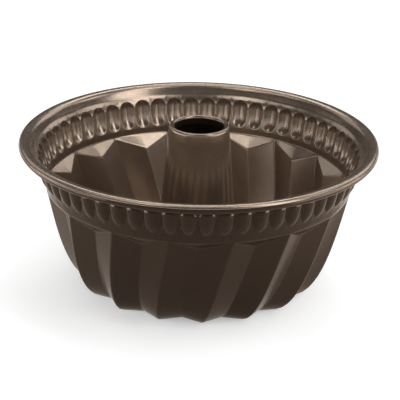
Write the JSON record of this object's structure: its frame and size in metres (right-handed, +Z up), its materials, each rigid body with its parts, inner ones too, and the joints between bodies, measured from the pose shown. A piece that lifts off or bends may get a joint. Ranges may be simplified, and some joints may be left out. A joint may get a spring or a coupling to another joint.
{
  "type": "savarin mould",
  "caption": "Deep ring cake mould of coated pressed steel with twisted pleats, a fluted band under a rolled rim and a conical chimney clamped into its floor.",
  "frame": {"origin": "centre of the flat floor, on the surface that the mould stands on", "axes": "+Z up along the chimney's axis; -Y towards the viewer of the picture; +X to the viewer's right"},
  "size_m": [0.25, 0.25, 0.118],
  "materials": {
    "body_coating": "satin bronze-brown non-stick coating with a fine metallic flake",
    "chimney_coating": "satin bronze-brown non-stick coating with a fine metallic flake",
    "wire_steel": "drawn steel wire, hidden in the rim"
  },
  "bodies": {
    "root": {"mould_body": "body_coating", "chimney": "chimney_coating", "rim_wire": "wire_steel"}
  },
  "joints": []
}
